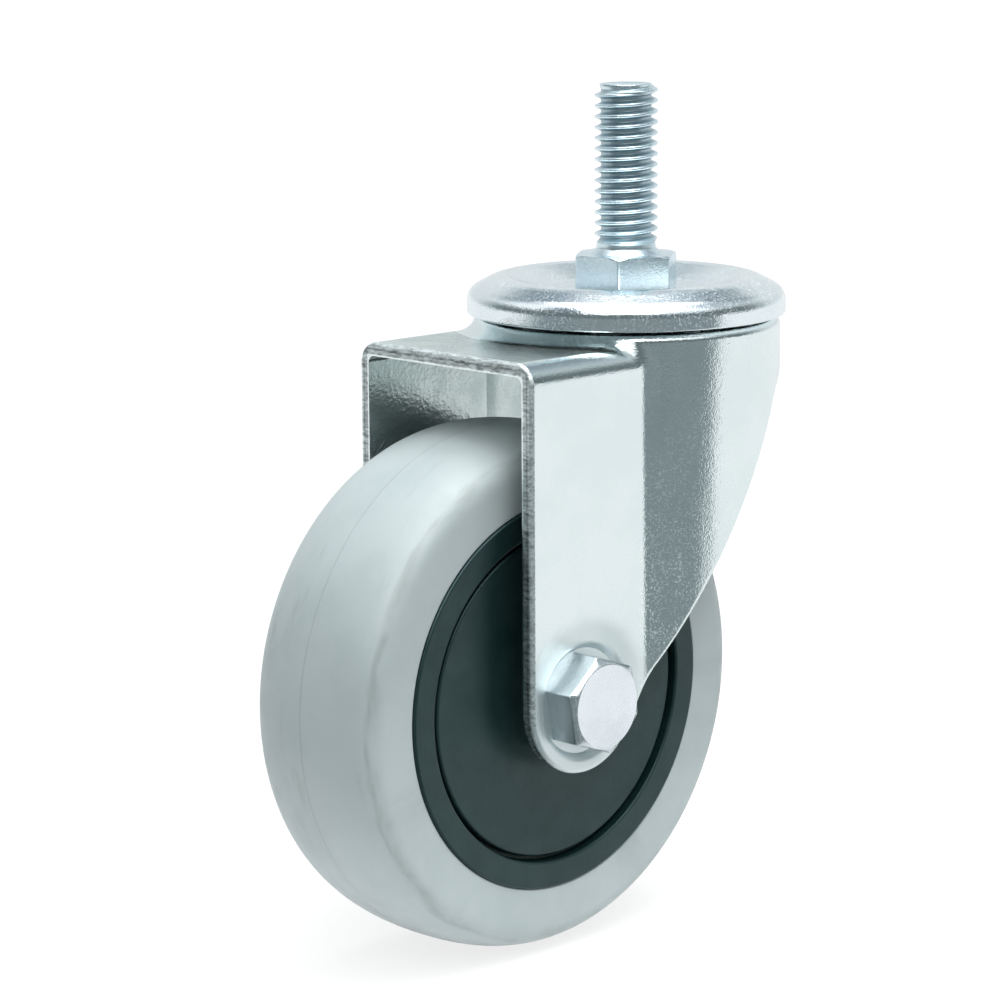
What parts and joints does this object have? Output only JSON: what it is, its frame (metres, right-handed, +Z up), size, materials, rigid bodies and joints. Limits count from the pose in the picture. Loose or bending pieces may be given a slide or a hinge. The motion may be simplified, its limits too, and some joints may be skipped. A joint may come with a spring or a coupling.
{
  "type": "swivel castor",
  "caption": "Swivel castor: threaded stem with hexagon, dished cover over a ball race, pressed steel yoke and a grey soft-treaded wheel on a bolted roller axle.",
  "frame": {"origin": "centre of the top face of the stem hexagon, on the swivel axis, where a plate seats when the stem is screwed home", "axes": "+Z up along the threaded stem, +X the way the castor travels with its wheel trailing on -X, Y along the wheel axle with the bolt head on -Y and the nut on +Y"},
  "size_m": [0.0902, 0.0519, 0.1257],
  "materials": {
    "zinc_sheet": "bright zinc plate on pressed sheet steel, slightly grainy, greenish grey in the dark reflections",
    "zinc_stem": "bright zinc plate with a bluish passivation on the forged and rolled stem",
    "zinc_fastener": "bright zinc plate on the bolt and nut",
    "ball_steel": "polished hardened steel",
    "roller_steel": "ground hardened steel",
    "plain_steel": "plain drawn steel, lightly oiled",
    "nylon": "natural nylon",
    "black_moulding": "black moulded polypropylene, satin",
    "grey_tread": "grey thermoplastic rubber, smooth and slightly soft sheen"
  },
  "bodies": {
    "stem_head": {"stem": "zinc_stem", "top_cover": "zinc_sheet", "swivel_washer": "nylon", "keeper_plate": "zinc_sheet"},
    "swivel_ball_row": {"swivel_ball_01": "ball_steel", "swivel_ball_02": "ball_steel", "swivel_ball_03": "ball_steel", "swivel_ball_04": "ball_steel", "swivel_ball_05": "ball_steel", "swivel_ball_06": "ball_steel", "swivel_ball_07": "ball_steel", "swivel_ball_08": "ball_steel", "swivel_ball_09": "ball_steel", "swivel_ball_10": "ball_steel"},
    "yoke": {"yoke": "zinc_sheet", "axle_bolt": "zinc_fastener", "axle_nut": "zinc_fastener", "nut_insert": "nylon", "axle_sleeve": "plain_steel"},
    "roller_row": {"roller_01": "roller_steel", "roller_02": "roller_steel", "roller_03": "roller_steel", "roller_04": "roller_steel", "roller_05": "roller_steel", "roller_06": "roller_steel", "roller_07": "roller_steel", "roller_08": "roller_steel", "roller_09": "roller_steel", "roller_10": "roller_steel", "roller_11": "roller_steel", "roller_12": "roller_steel"},
    "wheel": {"wheel_core": "black_moulding", "tyre": "grey_tread", "near_hub_cover": "black_moulding", "far_hub_cover": "black_moulding", "roller_race": "plain_steel", "near_end_washer": "nylon", "far_end_washer": "nylon"}
  },
  "joints": [
    {"name": "swivel", "type": "hinge", "parent": "stem_head", "child": "yoke", "pos_m": [0, 0, 0], "axis": [0, 0, 1], "continuous": true},
    {"name": "ball_row_roll", "type": "hinge", "parent": "stem_head", "child": "swivel_ball_row", "pos_m": [0, 0, 0], "axis": [0, 0, 1], "continuous": true},
    {"name": "wheel_spin", "type": "hinge", "parent": "yoke", "child": "wheel", "pos_m": [-0.0272, 0, -0.0613], "axis": [0, 1, 0], "continuous": true},
    {"name": "roller_row_roll", "type": "hinge", "parent": "yoke", "child": "roller_row", "pos_m": [-0.0272, 0, -0.0613], "axis": [0, 1, 0], "continuous": true}
  ],
  "couplings": [
    {"joint": "ball_row_roll", "follows": "swivel", "ratio": 0.5},
    {"joint": "roller_row_roll", "follows": "wheel_spin", "ratio": 0.614}
  ]
}
